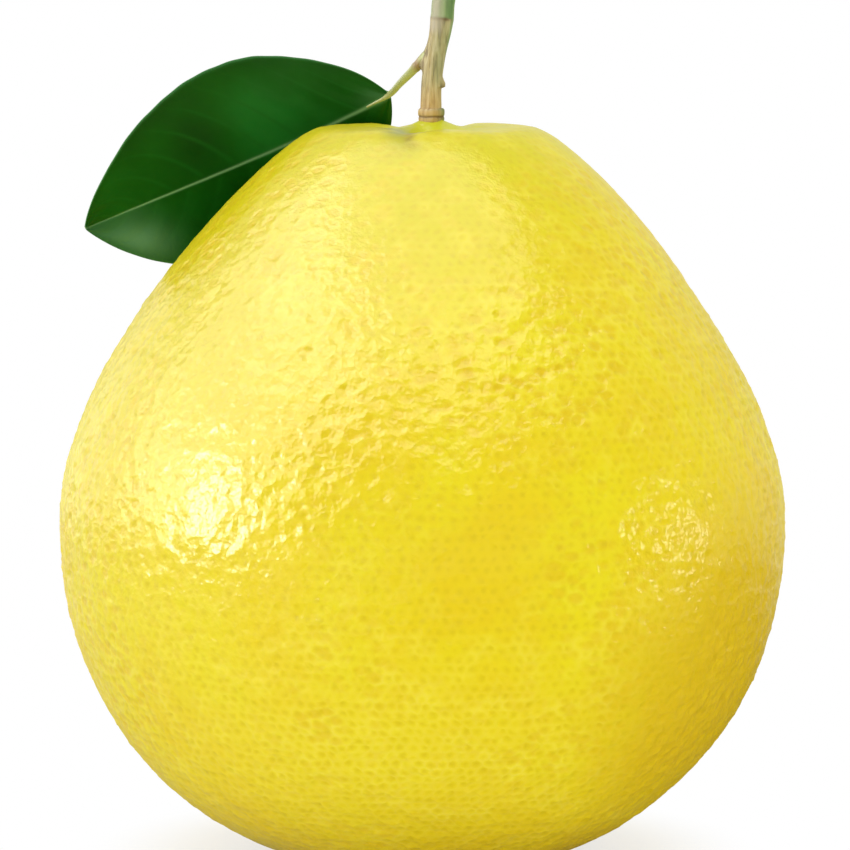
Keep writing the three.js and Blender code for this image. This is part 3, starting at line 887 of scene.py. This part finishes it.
def makeLeaf():
    rows, columns = leaf["along"], leaf["across"] + 1
    # rows crowd towards both ends, where the outline turns
    share = np.linspace(0, 1, rows)
    share = share - 0.11 * np.sin(2 * math.pi * share)
    apart = np.linspace(-1, 1, columns)
    apart = np.sign(apart) * np.abs(apart) ** 1.5  # and columns towards the midrib
    s, t = np.meshgrid(share, apart, indexing="ij")
    middle = bladePoints(s, t)
    along = bladePoints(np.minimum(s + 0.01, 1), t) - bladePoints(np.maximum(s - 0.01, 0), t)
    across = bladePoints(s, t + 0.01) - bladePoints(s, t - 0.01)
    facing = np.cross(along, across)
    facing /= np.linalg.norm(facing, axis=-1)[..., None]
    reach = np.abs(t) * halfWidthAt(s)
    vein = veinMask(s, t)
    rib = bell(reach, leaf["ribWidth"] * (1.3 - 0.75 * s))
    high, wide, puffed = leaf["billow"]
    between = lumps(middle.reshape(-1, 3), wide, seed=3).reshape(s.shape) * smoothStep(reach, 0, 9)
    puff = np.cos(2 * math.pi * (s - 0.2 * np.abs(t)) * (leaf["veins"] + 1)) * bell(np.abs(t) - 0.45, 0.35)
    billow = high * between + puffed * puff
    thick = leaf["thickness"] + (leaf["edgeThickness"] - leaf["thickness"]) * t ** 4
    veinDepth, ribDepth = leaf["sunk"]
    veinRise, ribRise = leaf["raised"]
    front = middle + facing * (thick / 2 + billow - veinDepth * vein - ribDepth * rib)[..., None]
    backRise = veinRise * vein + (ribRise - 0.55 * s) * bell(reach, 0.95 - 0.5 * s)
    behind = middle - facing * (thick / 2 - billow + backRise)[..., None]

    # the underside and then the face, mirrored, make one closed ring for each row
    ringPoints = np.concatenate([behind, front[:, ::-1]], axis=1)
    flat = closeTube(ringPoints)

    def rings(back, face):
        both = np.concatenate([back, face[:, ::-1]], axis=1)
        return np.r_[both.ravel(), both[0, 0], both[-1, 0]]

    rim = smoothStep(np.abs(t), 0.965, 1)
    ribShown = 0.85 * rib * (1 - 0.6 * smoothStep(s, 0.75, 1))
    # painted light and shade: a lighter area before the middle, a darker one after it and along the upper
    # edge, and a pale painted sheen near the tip and the base
    paintedLightAndShade = (0.5 + 0.5 * bell(s - 0.36, 0.13) * bell(t + 0.25, 0.4)
            - 0.45 * bell(s - 0.57, 0.1) * bell(t + 0.45, 0.4) - 0.2 * smoothStep(-t, 0.75, 1))
    paintedSheen = (0.75 * bell(s - 0.85, 0.09) * bell(t - 0.6, 0.3) + 0.2 * smoothStep(s, 0.72, 0.9) * (t > 0)
             + 0.3 * bell(s - 0.03, 0.05) * bell(t + 0.2, 0.3))
    none = np.zeros_like(t)
    makePiece("leafBlade", flat, gridFaces(rows, 2 * columns), leafMaterial(), "leaf_blade", {
        "vein": rings(vein, 0.7 * vein), "rib": rings(rib, ribShown), "under": rings(none + 1, none),
        "edge": rings(rim, rim), "paintedLightAndShade": rings(none, paintedLightAndShade), "paintedSheen": rings(none, paintedSheen)})


studio = {
    "lookAt": Vector((0.55, 0, 94.88)) * mm,
    "elevation": 6,
    "distance": 1.1,
    "seen": 187.07 * mm,       # width of the view at the fruit
    "worldStrength": 0.98,
    # how strongly gloss shows the backdrop behind, the room in front and the floor
    "backdropInGloss": 0.85,
    "roomInGloss": 0.05,
    "floorInGloss": 0.06,
    "lampAim": Vector((0, 0, 85)) * mm,  # all lamps face the fruit's middle
    "paperSize": 8,
    # the paper turns from shadow to white between these distances from the middle
    "shadowFades": (46 * mm, 76 * mm),
    # gloss goes from the room to the backdrop between these shares of the way back, and sees the paper
    # bright from these places on to the left and behind
    "roomToBackdrop": (-0.1, 0.6),
    "brightLeft": (0, -0.2),
    "brightBehind": (0.1, 0.4),
}

# name, where it stands from the point it aims at, width, height and power: large soft boxes overhead and on
# the left, and weak fills. Those called Shine are for the wax alone, and the others leave it alone.
lamps = [
    ("left", (-0.92, -0.15, 0.1), 1.2, 0.9, 0.75),
    ("front", (0.25, -0.95, -0.02), 1.6, 0.2, 1.5),
    ("overheadShine", (-0.12, -0.20, 0.97), 1.4, 1.1, 13.5),
    ("upperLeftShine", (-0.79, -0.21, 0.57), 1.5, 1.2, 22.5),
    ("leftShine", (-0.92, -0.32, 0.22), 0.6, 0.6, 2.6),
    ("leftShineCore", (-0.89, -0.42, 0.17), 0.36, 0.36, 6.0),
    ("leftBackShine", (-0.87, 0.45, -0.02), 1.3, 1.0, 6.0),
    ("rightShine", (1.0, -0.14, -0.05), 0.16, 0.4, 2.1),
]


def makeCamera():
    rise = math.radians(studio["elevation"])
    camera = bpy.data.objects.new("camera", bpy.data.cameras.new("camera"))
    bpy.context.scene.collection.objects.link(camera)
    back = Vector((0, -math.cos(rise), math.sin(rise)))
    camera.location = studio["lookAt"] + back * studio["distance"]
    camera.rotation_euler = (math.pi / 2 - rise, 0, 0)
    camera.data.lens = camera.data.sensor_width * studio["distance"] / studio["seen"]
    camera.data.clip_start = 0.05
    bpy.context.scene.camera = camera


def makeLamps():
    for name, place, width, height, power in lamps:
        light = bpy.data.lights.new(name, "AREA")
        light.shape = "RECTANGLE"
        light.size = width
        light.size_y = height
        light.energy = power
        lamp = bpy.data.objects.new(name, light)
        bpy.context.scene.collection.objects.link(lamp)
        lamp.location = studio["lampAim"] + Vector(place)
        lamp.rotation_euler = (-Vector(place)).to_track_quat("-Z", "Y").to_euler()
        lamp.visible_camera = False
        lamp.visible_glossy = "Shine" in name
        lamp.visible_diffuse = "Shine" not in name


# 1 for the rays that show the white backdrop as it is: the camera's, and those through glass
def clearlySeen(tree, path):
    return addNode(tree, "ShaderNodeMath", {
        0: path.outputs["Is Camera Ray"], 1: path.outputs["Is Transmission Ray"],
    }, operation="MAXIMUM")


def makeWorld():
    world = bpy.data.worlds.new("studioWorld")
    bpy.context.scene.world = world
    world.use_nodes = True
    tree = world.node_tree
    tree.nodes.clear()
    # gloss shows the backdrop behind the fruit, and the darker room in front
    direction = addNode(tree, "ShaderNodeTexCoord").outputs["Generated"]
    depth = addNode(tree, "ShaderNodeSeparateXYZ", {0: direction}).outputs["Y"]
    room, backdrop = studio["roomToBackdrop"]
    inGloss = addNode(tree, "ShaderNodeMapRange", {
        "Value": depth, "From Min": room, "From Max": backdrop, "To Min": studio["roomInGloss"],
        "To Max": studio["backdropInGloss"],
    })
    path = addNode(tree, "ShaderNodeLightPath")
    around = addNode(tree, "ShaderNodeMapRange", {
        "Value": path.outputs["Is Glossy Ray"], "To Min": studio["worldStrength"], "To Max": inGloss,
    })
    strength = addNode(tree, "ShaderNodeMapRange", {
        "Value": clearlySeen(tree, path), "To Min": around, "To Max": 1,
    })
    background = addNode(tree, "ShaderNodeBackground", {"Color": (1, 1, 1, 1), "Strength": strength})
    addNode(tree, "ShaderNodeOutputWorld", {"Surface": background})


def makeFloor():
    # White paper: the camera sees it white, with a faint shadow near the fruit, and gloss sees it dimmer.
    # From below it isn't there.
    material, tree = newMaterial("whitePaper")
    path = addNode(tree, "ShaderNodeLightPath")
    below = addNode(tree, "ShaderNodeNewGeometry").outputs["Backfacing"]
    place = addNode(tree, "ShaderNodeTexCoord").outputs["Object"]
    away = addNode(tree, "ShaderNodeVectorMath", {0: place}, operation="LENGTH").outputs["Value"]
    shadow, clear = studio["shadowFades"]
    white = addNode(tree, "ShaderNodeMapRange", {
        "Value": away, "From Min": shadow, "From Max": clear, "To Min": 0.7,
    }, interpolation_type="SMOOTHSTEP")
    shown = addNode(tree, "ShaderNodeMath", {0: clearlySeen(tree, path), 1: white}, operation="MULTIPLY")
    share = addNode(tree, "ShaderNodeMath", {
        0: shown, 1: path.outputs["Is Glossy Ray"],
    }, operation="MAXIMUM")
    # gloss sees it bright on the lit side and behind
    spot = addNode(tree, "ShaderNodeSeparateXYZ", {0: place})
    start, end = studio["brightLeft"]
    lit = addNode(tree, "ShaderNodeMapRange", {
        "Value": spot.outputs["X"], "From Min": start, "From Max": end, "To Min": studio["floorInGloss"],
        "To Max": 1,
    })
    start, end = studio["brightBehind"]
    back = addNode(tree, "ShaderNodeMapRange", {
        "Value": spot.outputs["Y"], "From Min": start, "From Max": end, "To Min": studio["floorInGloss"],
        "To Max": studio["backdropInGloss"],
    })
    inGloss = addNode(tree, "ShaderNodeMath", {0: lit, 1: back}, operation="MAXIMUM")
    level = addNode(tree, "ShaderNodeMapRange", {
        "Value": path.outputs["Is Glossy Ray"], "To Min": 1, "To Max": inGloss,
    })
    paper = addNode(tree, "ShaderNodeBsdfDiffuse", {"Color": (0.95, 0.95, 0.95, 1)})
    glow = addNode(tree, "ShaderNodeEmission", {"Color": (1, 1, 1, 1), "Strength": level})
    nothing = addNode(tree, "ShaderNodeBsdfTransparent")
    seen = addNode(tree, "ShaderNodeMixShader", {0: share, 1: paper, 2: glow})
    both = addNode(tree, "ShaderNodeMixShader", {0: below, 1: seen, 2: nothing})
    addNode(tree, "ShaderNodeOutputMaterial", {"Surface": both})
    bpy.ops.mesh.primitive_plane_add(size=studio["paperSize"])
    floor = bpy.context.object
    floor.name = "paperFloor"
    floor.data.materials.append(material)


print("rind")
makeRind()
print("stalk and calyx")
bark = barkMaterial()
makeCalyx(bark)
makeStalk(bark)
print("leaf")
makePetiole()
makeLeaf()
print("studio")
makeCamera()
makeLamps()
makeWorld()
makeFloor()
bpy.context.scene.view_settings.view_transform = "Standard"
